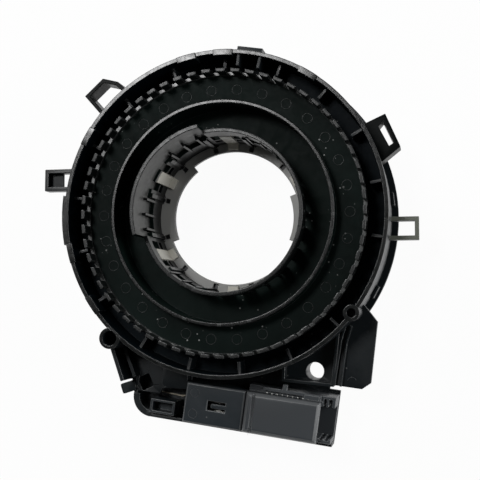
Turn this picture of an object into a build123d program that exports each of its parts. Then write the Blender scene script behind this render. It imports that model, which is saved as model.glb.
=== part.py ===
"""Steering clock spring: the rotary connector between a steering column and its wheel.

The axis of rotation is Z. The wheel side is down, and the column side, with the toothed
code disc, is up. The origin is on the axis, in the plane of the wheel-side nose.
Lengths are millimetres.
"""
from build123d import *
from math import cos, radians, sin
import os

os.makedirs("parts", exist_ok=True)

# ---------------------------------------------------------------- driving dimensions
# Clearances
turn_gap = 0.3            # between the stator and the rotor
seat_gap = 0.15           # round a piece that drops into a moulded pocket

# Levels along the axis
nose_height = 8.0         # the nose stands this far out of the front cover
cover_thick = 2.0
chamber_height = 16.0     # height of the space that holds the flat cable
shelf_thick = 1.6
housing_height = 34.0     # from the cover's face to the rim
plate_thick = 1.5         # walls of the code disc
front_thick = 1.6         # wheel-side disc of the hub

# Radii, from the bore outwards
bore_r = 31.0             # bore that the steering shaft's hub passes through
sleeve_step = 1.2         # the sleeve stands this far inside the bore
sleeve_wall = 1.5
slide_wall = 0.8
barrel_wall = 1.6         # the flat cable is wound round the barrel
trough_width = 11.3       # from the sleeve to the outside of the rib ring
code_step = 11.7          # from the rib ring to the outside of the toothed ring
tooth_gap = 6.1           # between the teeth and the housing wall
housing_wall = 1.6
cover_overhang = 2.5

# Stator housing
rib_angles = (11, 30.5, 50, 69, 90, 110, 131, 152, 173, 193.5, 213.5, 237, 256.5, 275.5, 295, 315.5, 351)
rib_thick = 1.2
rib_height = 8.4
rim_block_angles = (57.5, 89.5, 103, 150, 194, 214.5)
rim_block_span = 7.0
rim_block_thick = 0.8
rim_block_height = 7.0
rim_block_rise = 0.6
tab_rib_angles = (76, 84)
tab_angle = 81.0
tab_width = 9.9
tab_reach = 2.4           # the top tab stands this far out of the wall
tab_drop = 12.0
tab_height = 7.0
rim_step = 1.0            # the wall stands out by this much over one part of the rim
rim_step_start = 173.0
rim_step_end = 190.5
rim_step_height = 14.0

# Front cover
cover_lip_thick = 1.2
cover_lip_height = 0.9
snap_count = 8
snap_width = 5.0
snap_thick = 1.2
snap_height = 8.0
snap_start = -28.0
snap_step = 34.0

# Hub, wheel side
nose_wall = 1.8
land_reach = 7.0          # the two lands reach this far into the bore
land_relief = 2.5         # the rest of the flange stands back by this much
land_spans = ((128, 200), (-22, 20))
land_level = 18.6         # top of the flange in the bore
flange_thick = 2.0
foot_pocket = 1.8         # side of the small pockets at the foot of the columns
foot_pocket_depth = 1.6
front_width = 10.7        # the wheel-side disc reaches this far past the barrel

# Code disc, column side
sleeve_top = 46.3
sleeve_low_top = 42.2
sleeve_low_end = 250.0
collar_step = 1.1
collar_wall = 1.5
collar_top = 53.0
collar_start = 102.0
collar_end = 196.0
rib_ring_wall = 1.4
rib_ring_top = 43.9
edge_bevel = 0.3
code_plate_top = 37.0     # outer annulus, which carries the teeth
tooth_ring_wall = 1.6
tooth_floor = 38.2
tooth_top = 44.75
tooth_skirt = 3.5         # the ring hangs this far below the annulus top
tooth_count = 60
tooth_length = 3.4
tooth_bevel = 0.4
tooth_inset = 0.12        # the teeth stand back from both faces of their ring

# Windows in the sleeve and the tongues of the slide ring
group_count = 6
group_start = 30.0
window_top = 37.5
window_bottom = 25.0
window_span = 5.8
tongue_span = 8.8
tongue_height = 17.0
tongue_thick = 0.8
tongue_root_height = 9.2  # the tongue is joined to the ring up to here
tongue_foot = 2.4         # and its foot lies this far over the flange
tongue_foot_height = 1.2
slide_height = 5.0
column_angle = 15.0
column_width = 1.7
column_depth = 0.9
slot_span = 26.0
fin_thick = 0.9
fin_depth = 2.2
fin_offsets = (-11.0, 0.0, 11.0)
fin_bottom = 28.0

# Flat cable
cable_thick = 0.4
cable_width = 14.2
cable_turns = 7
film_thick = 0.25

# Connector bay, in its own frame: turned about Z, and measured from the edge of the ring
bay_turn = -8.0
bay_left = -30.0
bay_neck = 29.5           # the floor reaches the ring as far as this
bay_step_right = 46.2     # beside the socket it is a little wider, as far as this
bay_step_reach = 2.6
bay_reach = 16.0          # outlines run this far in under the ring, and are cut off at its wall
bay_right = 50.5
bay_bottom = -20.5
bay_top = 0.5
bay_floor = 1.6
bay_wall = 1.4
bay_wall_height = 9.0
bay_corner_r = 8.0
bay_end_height = 11.0
bay_end_wall = 2.6
bay_end_start = 175.0
bay_end_stop = 269.0
ledge_level = 20.0
ledge_thick = 1.6
shoulder_height = 3.0
side_wall_height = 24.0
inner_wall_height = 7.0
lid_left = -6.7
lid_length = 23.2
lid_top_edge = -3.5
lid_width = 15.3
lid_height = 19.0
lid_wall = 1.2
socket_length = 33.5
socket_inset = 1.6
socket_height = 14.0
socket_body_length = 28.5
socket_body_width = 15.5
socket_body_height = 20.4
mouth_width = 11.9
mouth_height = 16.0
mouth_depth = 24.0
shell_wall = 1.2
shell_rib = 0.9
groove_width = 0.7
groove_depth = 0.4
pin_size = 0.64
pin_rows = 2
pin_columns = 6
pin_pitch = 1.8

# Screw bosses and the bracket
left_boss_angle = 227.4
left_boss_offset = 2.0    # from the outside of the ring to the centre of the boss
left_boss_r = 4.05
left_boss_hole_r = 2.75
left_boss_depth = 16.0
right_boss_angle = -37.8
right_boss_offset = -1.1
right_boss_r = 3.05
right_boss_hole_r = 1.6
right_boss_depth = 9.0
boss_rise = 0.3           # the bosses stand this far above the rim
flag_thick = 2.0
flag_level = 24.0
pocket_level = 22.0
pocket_wall = 1.2
pocket_height = 6.0
bracket_hole = (40.61, 7.32)
bracket_hole_r = 3.4
bracket_boss_wall = 1.3
bracket_boss_length = 12.0
ridge_height = 2.0        # two ridges on the flag plate

# Wheel-side sockets
squib_angles = (60.0, 120.0)
switch_angle = 270.0
socket_offset = 3.0       # from the barrel to the middle of the sockets
squib_length = 12.6
squib_width = 10.4
switch_length = 24.0
switch_width = 9.4
wheel_socket_wall = 1.2
insert_wall = 0.8
wheel_pin_length = 5.0
switch_pin_count = 6
switch_pin_pitch = 3.0
squib_pin_pitch = 3.0

# ---------------------------------------------------------------- derived levels
cover_level = nose_height
chamber_level = cover_level + cover_thick
shelf_level = chamber_level + chamber_height
shelf_top = shelf_level + shelf_thick
rim_level = cover_level + housing_height
boss_top = rim_level + boss_rise
front_level = chamber_level - front_thick
disc_level = shelf_top + 3 * turn_gap
bay_level = chamber_level
bay_floor_top = bay_level + bay_floor
bay_corner = (bay_left + bay_corner_r, bay_bottom + bay_corner_r)

# ---------------------------------------------------------------- derived radii
sleeve_r = bore_r - sleeve_step
sleeve_outer_r = sleeve_r + sleeve_wall
ring_inner_r = sleeve_outer_r + seat_gap
ring_outer_r = ring_inner_r + slide_wall
barrel_r = ring_outer_r + seat_gap + barrel_wall
rib_ring_r = sleeve_outer_r + trough_width
tooth_ring_r = rib_ring_r + code_step
tooth_inner_r = tooth_ring_r - tooth_ring_wall
wall_r = tooth_ring_r + tooth_gap
housing_r = wall_r + housing_wall
wall_middle_r = wall_r + housing_wall / 2
cover_r = housing_r + cover_overhang
shelf_r = barrel_r + turn_gap
front_r = barrel_r + front_width
cover_bore_r = front_r + turn_gap
socket_ring_r = barrel_r + socket_offset
nose_r = bore_r + nose_wall
land_r = bore_r - land_reach
flange_inner_r = land_r + land_relief
collar_inner_r = sleeve_r + collar_step
collar_r = collar_inner_r + collar_wall
rib_reach_r = tooth_ring_r + 3 * turn_gap
left_boss_at = housing_r + left_boss_offset
right_boss_at = housing_r + right_boss_offset


def sector(inner, outer, start, end):
    """An annular sector as a sketch: two radii, and two angles in degrees."""
    with BuildSketch() as plan:
        with BuildLine():
            far_arc = CenterArc((0, 0), outer, start, end - start)
            near_arc = CenterArc((0, 0), inner, start, end - start)
            Line(far_arc @ 0, near_arc @ 0)
            Line(far_arc @ 1, near_arc @ 1)
        make_face()
    return plan.sketch


def outline(*points):
    """A closed polygon as a sketch."""
    with BuildSketch() as plan:
        with BuildLine():
            Polyline(*points, close=True)
        make_face()
    return plan.sketch


def frame(*points, wall):
    """A closed polygon with its inside cut away, as a sketch."""
    with BuildSketch() as plan:
        with BuildLine():
            Polyline(*points, close=True)
        make_face()
        offset(amount=-wall, mode=Mode.SUBTRACT)
    return plan.sketch


def in_bay(sketch):
    """A sketch drawn in the frame of the connector bay, put in its place."""
    return sketch.moved(Location((0, 0, 0), (0, 0, bay_turn)) * Location((0, -housing_r, 0)))


def bay_box(left, right, bottom, top):
    """A rectangle in the frame of the connector bay, as a sketch."""
    with BuildSketch() as plan:
        with Locations(((left + right) / 2, (bottom + top) / 2)):
            Rectangle(right - left, top - bottom)
    return in_bay(plan.sketch)


def bay_circle(place, radius):
    """A circle in the frame of the connector bay, as a sketch."""
    with BuildSketch() as plan:
        with Locations(place):
            Circle(radius)
    return in_bay(plan.sketch)


def bay_block(place, size, turn, corner_r):
    """A turned rectangle with round corners in the frame of the bay, as a sketch."""
    with BuildSketch() as plan:
        with Locations(Location((*place, 0), (0, 0, turn))):
            RectangleRounded(*size, corner_r)
    return in_bay(plan.sketch)


# ---------------------------------------------------------------- stator housing
# Snap loops: each outline is drawn from the edge of the ring, x outwards
loop_a_angle = 135.5
loop_b_angle = 167.0
loop_c_angle = 25.0
loop_d_angle = -5.0
loop_a = ((15.3, 6.4), (14.8, -3.8), (9.2, -7.1), (-7.1, -7.7), (-7.1, 8.0))
loop_b = ((14.0, 6.1), (-4.0, 2.0), (-2.0, -6.6), (15.9, -2.4))
loop_b_floor = ((13.6, 5.6), (7.7, 4.3), (9.5, -3.5), (15.4, -2.2))
loop_c = ((-3.1, 9.1), (8.8, 9.0), (8.5, -5.0), (-2.9, -7.8))
loop_c_window = ((4.4, 5.7), (6.8, 6.8), (6.8, -2.5), (4.8, -2.8))
loop_d = ((-2.4, -4.7), (11.1, -3.5), (10.3, 5.3), (-3.1, 4.1))
loop_wall = 1.6
loop_a_level = 18.0
loop_b_level = 24.0
loop_d_level = 19.0
loop_height = 9.0
small_loop_height = 5.0

# Outlines in the frame of the connector bay
bay_side = ((-38.3, 18.2), (-40.1, 9.9), (-32.1, -7.1), (-21.4, -1.6), (-17.9, 17.1))
side_wall_line = ((-40.4, 9.4), (-39.0, 10.0), (-30.8, -6.3), (-32.1, -7.1))
inner_wall_line = ((-35.2, 5.1), (-34.1, 5.7), (-28.4, -4.8), (-29.5, -5.5))
ledge_points = ((-36.6, 20.5), (-39.9, 9.5), (-31.7, -7.1), (-30.7, -11.2), (-19.5, -11.0), (-18.8, -8.7), (-6.9, -7.0), (-9.0, 8.2), (-24.1, 18.2))
square_hole = (-26.0, -7.3)
square_hole_size = (5.0, 5.4)
square_hole_turn = 33.0
shoulder_points = ((-20.4, 8.6), (-18.2, -7.0), (-16.8, -8.0), (-7.9, -7.2), (-10.3, 10.1))
peg = (-32.3, -10.2)
peg_size = (6.0, 4.2)
peg_turn = 26.0
left_ridge = ((48.2, 3.3), (49.3, 3.3), (49.6, 20.5), (50.7, 27.1), (49.9, 27.6), (48.6, 20.6))
right_ridge = ((50.9, 3.3), (51.7, 3.3), (51.7, 20.4), (52.7, 26.4), (51.8, 26.7), (50.9, 20.5))
flag_points = ((49.7, 38.7), (55.8, 35.4), (61.9, 29.4), (62.4, 6.2), (59.3, 3.4), (48.2, 3.3), (46.7, 20.3), (44.6, 31.9))
pocket_points = ((27.9, 11.4), (28.8, 1.8), (48.8, 2.8), (48.3, 23.3), (41.5, 25.4), (30.4, 17.8))

with BuildPart() as housing:
    with BuildSketch(Plane.XY.offset(chamber_level)):
        Circle(housing_r)
        Circle(wall_r, mode=Mode.SUBTRACT)
    extrude(amount=rim_level - chamber_level)
    with BuildSketch(Plane.XY.offset(shelf_level)):
        Circle(wall_middle_r)
        Circle(shelf_r, mode=Mode.SUBTRACT)
    extrude(amount=shelf_thick)
    # Radial ribs stand on the shelf, outside the teeth
    with BuildSketch(Plane.XY.offset(shelf_top)):
        for angle in rib_angles:
            with PolarLocations((rib_reach_r + housing_r) / 2, 1, start_angle=angle):
                Rectangle(housing_r - rib_reach_r - housing_wall, rib_thick)
    extrude(amount=rib_height)
    # Two ribs behind the top tab reach the rim
    with BuildSketch(Plane.XY.offset(shelf_top)):
        for angle in tab_rib_angles:
            with PolarLocations((rib_reach_r + housing_r) / 2, 1, start_angle=angle):
                Rectangle(housing_r - rib_reach_r - housing_wall, rib_thick)
    extrude(amount=rim_level - shelf_top - 1)
    # Thicker blocks on the rim
    with BuildSketch(Plane.XY.offset(rim_level - rim_block_height)):
        for angle in rim_block_angles:
            add(sector(wall_r - rim_block_thick, housing_r, angle - rim_block_span / 2, angle + rim_block_span / 2))
    extrude(amount=rim_block_height + rim_block_rise)
    # The wall steps out over one part of the rim
    with BuildSketch(Plane.XY.offset(rim_level - rim_step_height)):
        add(sector(wall_middle_r, housing_r + rim_step, rim_step_start, rim_step_end))
    extrude(amount=rim_step_height)
    # Snap loops round the wall
    with BuildSketch(Plane.XY.offset(loop_a_level)):
        with PolarLocations(housing_r, 1, start_angle=loop_a_angle):
            add(frame(*loop_a, wall=loop_wall))
        with PolarLocations(housing_r, 1, start_angle=loop_c_angle):
            add(outline(*loop_c))
            add(outline(*loop_c_window), mode=Mode.SUBTRACT)
        Circle(wall_middle_r, mode=Mode.SUBTRACT)
    extrude(amount=loop_height)
    for angle, points, level in ((loop_b_angle, loop_b, loop_b_level), (loop_d_angle, loop_d, loop_d_level)):
        with BuildSketch(Plane.XY.offset(level)):
            with PolarLocations(housing_r, 1, start_angle=angle):
                add(frame(*points, wall=loop_wall))
            Circle(wall_middle_r, mode=Mode.SUBTRACT)
        extrude(amount=small_loop_height)
    # The left loop has a half floor
    with BuildSketch(Plane.XY.offset(loop_b_level)):
        with PolarLocations(housing_r, 1, start_angle=loop_b_angle):
            add(outline(*loop_b_floor))
    extrude(amount=loop_wall)
    # Tab at the top
    with BuildSketch(Plane.XY.offset(rim_level - tab_drop)):
        with PolarLocations(housing_r, 1, start_angle=tab_angle):
            Rectangle(2 * tab_reach, tab_width)
        Circle(wall_middle_r, mode=Mode.SUBTRACT)
    extrude(amount=tab_height)
    # Connector bay: floor, low walls, curved end
    with BuildSketch(Plane.XY.offset(bay_level)) as bay_plan:
        add(bay_box(bay_left + bay_corner_r, bay_right, bay_bottom, bay_top))
        add(bay_box(bay_left, bay_neck, bay_bottom + bay_corner_r, bay_reach))
        add(bay_box(bay_neck - bay_wall, bay_step_right, 0, bay_step_reach))
        add(bay_circle(bay_corner, bay_corner_r))
        add(in_bay(outline(*bay_side)))
        Circle(wall_middle_r, mode=Mode.SUBTRACT)
    extrude(amount=bay_floor)
    with BuildSketch(Plane.XY.offset(bay_level)):
        add(bay_plan.sketch.moved(Location((0, 0, -bay_level))))
        offset(amount=-bay_wall, mode=Mode.SUBTRACT)
        add(bay_box(lid_left + lid_length, bay_right + 1, bay_bottom + bay_wall, bay_reach), mode=Mode.SUBTRACT)
        Circle(housing_r, mode=Mode.SUBTRACT)
    extrude(amount=bay_floor + bay_wall_height)
    # The side wall runs down from the left boss to the bay
    with BuildSketch(Plane.XY.offset(bay_level)):
        add(in_bay(outline(*side_wall_line)))
        Circle(wall_middle_r, mode=Mode.SUBTRACT)
    extrude(amount=side_wall_height)
    # Ledge between the ring and the bay, with a square hole
    with BuildSketch(Plane.XY.offset(ledge_level - ledge_thick)):
        add(in_bay(outline(*ledge_points)))
        Circle(wall_middle_r, mode=Mode.SUBTRACT)
        add(bay_block(square_hole, square_hole_size, square_hole_turn, 0.3), mode=Mode.SUBTRACT)
    extrude(amount=ledge_thick)
    # A second wall and a raised shoulder stand on the ledge
    with BuildSketch(Plane.XY.offset(ledge_level)):
        add(in_bay(outline(*inner_wall_line)))
    extrude(amount=inner_wall_height)
    with BuildSketch(Plane.XY.offset(ledge_level)):
        add(in_bay(outline(*shoulder_points)))
        Circle(wall_middle_r, mode=Mode.SUBTRACT)
    extrude(amount=shoulder_height)
    # Curved end wall and the peg beside it
    with BuildSketch(Plane.XY.offset(bay_level)):
        end_plan = sector(bay_corner_r - bay_end_wall, bay_corner_r, bay_end_start, bay_end_stop)
        add(in_bay(end_plan.moved(Location((*bay_corner, 0)))))
    extrude(amount=bay_end_height)
    with BuildSketch(Plane.XY.offset(ledge_level - ledge_thick)):
        add(bay_block(peg, peg_size, peg_turn, 1.0))
    extrude(amount=2 * ledge_thick)
    # Flag plate with its two ridges
    with BuildSketch(Plane.XY.offset(flag_level - flag_thick)):
        add(in_bay(outline(*flag_points)))
        Circle(wall_middle_r, mode=Mode.SUBTRACT)
    extrude(amount=flag_thick)
    with BuildSketch(Plane.XY.offset(flag_level)):
        add(in_bay(outline(*left_ridge)))
        add(in_bay(outline(*right_ridge)))
    extrude(amount=ridge_height)
    # Pocket with the bracket hole
    with BuildSketch(Plane.XY.offset(pocket_level - flag_thick)):
        add(in_bay(outline(*pocket_points)))
        Circle(wall_middle_r, mode=Mode.SUBTRACT)
    extrude(amount=flag_thick)
    with BuildSketch(Plane.XY.offset(pocket_level - flag_thick)):
        add(in_bay(frame(*pocket_points, wall=pocket_wall)))
        Circle(wall_middle_r, mode=Mode.SUBTRACT)
    extrude(amount=pocket_height)
    with BuildSketch(Plane.XY.offset(pocket_level - bracket_boss_length)):
        add(bay_circle(bracket_hole, bracket_hole_r + bracket_boss_wall))
    extrude(amount=bracket_boss_length)
    with BuildSketch(Plane.XY.offset(pocket_level - bracket_boss_length)):
        add(bay_circle(bracket_hole, bracket_hole_r))
    extrude(amount=bracket_boss_length, mode=Mode.SUBTRACT)
    # Screw bosses: the left one stands outside the wall, the right one on the shelf
    with BuildSketch(Plane.XY.offset(bay_level)):
        with PolarLocations(left_boss_at, 1, start_angle=left_boss_angle):
            Circle(left_boss_r)
        Circle(wall_middle_r, mode=Mode.SUBTRACT)
    extrude(amount=boss_top - bay_level)
    with BuildSketch(Plane.XY.offset(shelf_level)):
        with PolarLocations(right_boss_at, 1, start_angle=right_boss_angle):
            Circle(right_boss_r)
    extrude(amount=boss_top - shelf_level)
    for angle, centre_r, radius, depth in ((left_boss_angle, left_boss_at, left_boss_hole_r, left_boss_depth),
                                           (right_boss_angle, right_boss_at, right_boss_hole_r, right_boss_depth)):
        with BuildSketch(Plane.XY.offset(boss_top)):
            with PolarLocations(centre_r, 1, start_angle=angle):
                Circle(radius)
        extrude(amount=-depth, mode=Mode.SUBTRACT)
    # Slot that lets the flat cable out of the chamber into the bay
    with BuildSketch(Plane.XY.offset(bay_floor_top)):
        add(sector(wall_r - 1, housing_r + 1, -118, -97))
    extrude(amount=cable_width, mode=Mode.SUBTRACT)
housing.part.label = "housing"
export_step(housing.part, "parts/housing.step")

# ---------------------------------------------------------------- front cover
with BuildPart() as front_cover:
    with BuildSketch(Plane.XY.offset(cover_level)):
        Circle(cover_r)
        Circle(cover_bore_r, mode=Mode.SUBTRACT)
    extrude(amount=cover_thick)
    # Stiffening lip round the wheel side
    with BuildSketch(Plane.XY.offset(cover_level - cover_lip_height)):
        Circle(cover_r)
        Circle(cover_r - cover_lip_thick, mode=Mode.SUBTRACT)
    extrude(amount=cover_lip_height)
    # Snap arms hold the housing wall
    for index in range(snap_count):
        angle = snap_start + index * snap_step
        with BuildSketch(Plane.XY.offset(chamber_level)):
            with PolarLocations(housing_r + seat_gap + snap_thick / 2, 1, start_angle=angle):
                Rectangle(snap_thick, snap_width)
        extrude(amount=snap_height)
front_cover.part.label = "front_cover"
export_step(front_cover.part, "parts/front_cover.step")

# ---------------------------------------------------------------- films and felt
with BuildPart() as front_film:
    with BuildSketch(Plane.XY.offset(chamber_level)):
        Circle(wall_r - seat_gap)
        Circle(cover_bore_r + 0.5, mode=Mode.SUBTRACT)
    extrude(amount=film_thick)
front_film.part.label = "front_film"
export_step(front_film.part, "parts/front_film.step")

with BuildPart() as rear_film:
    with BuildSketch(Plane.XY.offset(shelf_level - film_thick)):
        Circle(wall_r - seat_gap)
        Circle(shelf_r + 0.7, mode=Mode.SUBTRACT)
    extrude(amount=film_thick)
rear_film.part.label = "rear_film"
export_step(rear_film.part, "parts/rear_film.step")

felt_inner_r = shelf_r + 0.7
felt_width = 5.0
with BuildPart() as felt_ring:
    with BuildSketch(Plane.XY.offset(shelf_top)):
        Circle(felt_inner_r + felt_width)
        Circle(felt_inner_r, mode=Mode.SUBTRACT)
    extrude(amount=2 * turn_gap)
felt_ring.part.label = "felt_ring"
export_step(felt_ring.part, "parts/felt_ring.step")

# ---------------------------------------------------------------- flat cable
# A spiral of straight runs, each turning by the same angle.
cable_inner_r = barrel_r + 1.3
cable_outer_r = wall_r - cable_thick - 0.4
cable_level = chamber_level + film_thick + 0.4
cable_end_angle = -112.0
cable_step = 10.0
cable_steps = int(cable_turns * 360 / cable_step)
cable_inside = []
cable_outside = []
for step in range(cable_steps + 1):
    turned = radians(cable_end_angle + step * cable_step)
    reach = cable_inner_r + (cable_outer_r - cable_inner_r) * step / cable_steps
    cable_inside.append((reach * cos(turned), reach * sin(turned)))
    cable_outside.append(((reach + cable_thick) * cos(turned), (reach + cable_thick) * sin(turned)))
with BuildPart() as flat_cable:
    with BuildSketch(Plane.XY.offset(cable_level)):
        add(outline(*cable_inside, *reversed(cable_outside)))
    extrude(amount=cable_width)
flat_cable.part.label = "flat_cable"
export_step(flat_cable.part, "parts/flat_cable.step")

# The carrier that holds the outer end of the flat cable stands in the slot of the wall
anchor_inner_r = wall_r - 2.0
anchor_outer_r = housing_r
with BuildPart() as cable_anchor:
    with BuildSketch(Plane.XY.offset(bay_floor_top + seat_gap)):
        add(sector(anchor_inner_r, anchor_outer_r, cable_end_angle + 1.0, cable_end_angle + 13.0))
    extrude(amount=cable_width - 2 * seat_gap)
cable_anchor.part.label = "cable_anchor"
export_step(cable_anchor.part, "parts/cable_anchor.step")

# ---------------------------------------------------------------- connector bay pieces
block_left = lid_left + lid_wall + 1.4
block_right = lid_left + lid_length - lid_wall - 0.4
block_bottom = lid_top_edge - lid_width + lid_wall + 0.6
block_top = lid_top_edge - lid_wall - 0.6
row_level = bay_floor_top + 5.4
row_pitch = 5.0
block_step = (block_left + block_right) / 2 + 1.0
pin_centre = (block_bottom + block_top) / 2

with BuildPart() as terminal_block:
    with BuildSketch(Plane.XY.offset(bay_floor_top)):
        add(bay_box(block_left, block_right, block_bottom, block_top))
    extrude(amount=row_level - bay_floor_top)
    with BuildSketch(Plane.XY.offset(row_level)):
        add(bay_box(block_left, block_step, block_bottom, block_top))
    extrude(amount=row_pitch)
terminal_block.part.label = "terminal_block"
export_step(terminal_block.part, "parts/terminal_block.step")

socket_left = lid_left + lid_length + 0.3
socket_back = socket_left + socket_body_length + 5.0 - mouth_depth
with BuildPart() as connector_pins:
    for row in range(pin_rows):
        tail = block_step + 1.0 if row == 0 else block_left + 2.0
        tip = socket_back + 9.0
        for column in range(pin_columns):
            side = pin_centre + (column - (pin_columns - 1) / 2) * pin_pitch
            with BuildSketch(Plane.XY.offset(row_level + row * row_pitch)):
                add(bay_box(tail, tip, side - pin_size / 2, side + pin_size / 2))
            extrude(amount=pin_size)
connector_pins.part.label = "connector_pins"
export_step(connector_pins.part, "parts/connector_pins.step")

with BuildPart() as connector_lid:
    with BuildSketch(Plane.XY.offset(bay_floor_top)):
        add(bay_box(lid_left, lid_left + lid_length, lid_top_edge - lid_width, lid_top_edge))
    extrude(amount=lid_height)
    fillet(connector_lid.edges().group_by(Axis.Z)[-1], radius=0.9)
    with BuildSketch(Plane.XY.offset(bay_floor_top)):
        add(bay_box(lid_left + lid_wall, lid_left + lid_length - lid_wall,
                    lid_top_edge - lid_width + lid_wall, lid_top_edge - lid_wall))
    extrude(amount=lid_height - lid_wall, mode=Mode.SUBTRACT)
    # Doorway for the cable on the left, and for the pins on the right
    with BuildSketch(Plane.XY.offset(bay_floor_top)):
        add(bay_box(lid_left - 1, lid_left + lid_wall + 1, block_bottom + 1, block_top - 1))
        add(bay_box(lid_left + lid_length - lid_wall - 1, lid_left + lid_length + 1, block_bottom, block_top))
    extrude(amount=row_level + row_pitch + 2 * pin_size - bay_floor_top, mode=Mode.SUBTRACT)
    # Window round the catch in the top
    with BuildSketch(Plane.XY.offset(bay_floor_top + lid_height - lid_wall)):
        add(bay_box(lid_left + 9.0, lid_left + 16.0, lid_top_edge - 9.4, lid_top_edge - 5.8))
        add(bay_box(lid_left + 10.4, lid_left + 16.0, lid_top_edge - 8.4, lid_top_edge - 6.8), mode=Mode.SUBTRACT)
    extrude(amount=lid_wall, mode=Mode.SUBTRACT)
connector_lid.part.label = "connector_lid"
export_step(connector_lid.part, "parts/connector_lid.step")

socket_bottom = bay_bottom + socket_inset
socket_top = bay_top - socket_inset
body_bottom = pin_centre - socket_body_width / 2
body_top = pin_centre + socket_body_width / 2
socket_right = socket_left + socket_length
mouth_level = row_level + row_pitch / 2 + pin_size / 2 - mouth_height / 2
with BuildPart() as connector_socket:
    with BuildSketch(Plane.XY.offset(bay_floor_top)):
        add(bay_box(socket_left, socket_right, socket_bottom, socket_top))
    extrude(amount=socket_height)
    with BuildSketch(Plane.XY.offset(bay_floor_top)):
        add(bay_box(socket_left, socket_left + socket_body_length, body_bottom, body_top))
    extrude(amount=socket_body_height)
    fillet(connector_socket.edges().group_by(Axis.Z)[-1], radius=2.0)
    with BuildSketch(Plane.XY.offset(bay_floor_top + 1.4)):
        add(bay_box(socket_back, socket_right + 1, pin_centre - mouth_width / 2, pin_centre + mouth_width / 2))
    extrude(amount=mouth_height, mode=Mode.SUBTRACT)
    # The outer shell is open beyond the end of the body, with a thin rib across it
    shell_left = socket_left + socket_body_length + 0.6
    with BuildSketch(Plane.XY.offset(bay_floor_top + 1.4)):
        add(bay_box(shell_left, socket_right - shell_wall, socket_bottom + shell_wall, socket_top - shell_wall))
        add(bay_box(shell_left + 1.0, shell_left + 1.0 + shell_rib, socket_bottom, socket_top), mode=Mode.SUBTRACT)
    extrude(amount=socket_height, mode=Mode.SUBTRACT)
    # Groove across the body
    with BuildSketch(Plane.XY.offset(bay_floor_top + socket_body_height - groove_depth)):
        add(bay_box(socket_left + 2.8, socket_left + 2.8 + groove_width, body_bottom - 1, body_top + 1))
    extrude(amount=groove_depth, mode=Mode.SUBTRACT)
    # Holes for the pins
    for row in range(pin_rows):
        for column in range(pin_columns):
            side = pin_centre + (column - (pin_columns - 1) / 2) * pin_pitch
            with BuildSketch(Plane.XY.offset(row_level + row * row_pitch)):
                add(bay_box(socket_left - 1, socket_back + 1, side - pin_size / 2, side + pin_size / 2))
            extrude(amount=pin_size, mode=Mode.SUBTRACT)
    # Guide rails beside the body
    with BuildSketch(Plane.XY.offset(bay_floor_top + socket_height)):
        add(bay_box(socket_left + 5.6, socket_left + 28.0, socket_top - 1.2, socket_top))
        add(bay_box(socket_left + 13.0, socket_left + 14.8, socket_top - 1.2, socket_top + 2.0))
        add(bay_box(socket_left + 3.0, socket_left + 26.0, socket_bottom, socket_bottom + 1.0))
        add(bay_box(socket_left + 21.0, socket_left + 28.0, socket_top - 2.4, socket_top))
    extrude(amount=2.0)
connector_socket.part.label = "connector_socket"
export_step(connector_socket.part, "parts/connector_socket.step")

clamp_left = -21.8
clamp_right = -11.8
clamp_bottom = -18.3
clamp_top = -12.8
with BuildPart() as cable_clamp:
    with BuildSketch(Plane.XY.offset(bay_floor_top)):
        add(bay_box(clamp_left, clamp_right, clamp_bottom, clamp_top))
    extrude(amount=12.4)
    with BuildSketch(Plane.XY.offset(bay_floor_top + 6.4)):
        add(bay_box(clamp_left + 1.0, clamp_right - 1.0, clamp_bottom + 1.0, clamp_top - 1.0))
    extrude(amount=6.0, mode=Mode.SUBTRACT)
cable_clamp.part.label = "cable_clamp"
export_step(cable_clamp.part, "parts/cable_clamp.step")

# Two sheet-metal strips lie on the floor of the bay and run into the connector cover
strip_width = 0.5
strip_height = 1.0
strip_gap = 0.1
strip_ends = (((-22.0, -11.2), (-12.0, -11.6), (block_left - strip_gap, -9.0)),
              ((clamp_right + strip_gap, -16.0), (-9.0, -16.0), (block_left - strip_gap, -14.0)))
with BuildPart() as contact_strips:
    for left_end, middle, right_end in strip_ends:
        with BuildSketch(Plane.XY.offset(bay_floor_top + strip_gap)):
            add(in_bay(outline(left_end, middle, right_end, (right_end[0], right_end[1] + strip_width),
                               (middle[0], middle[1] + strip_width), (left_end[0], left_end[1] + strip_width))))
        extrude(amount=strip_height)
contact_strips.part.label = "contact_strips"
export_step(contact_strips.part, "parts/contact_strips.step")

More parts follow.
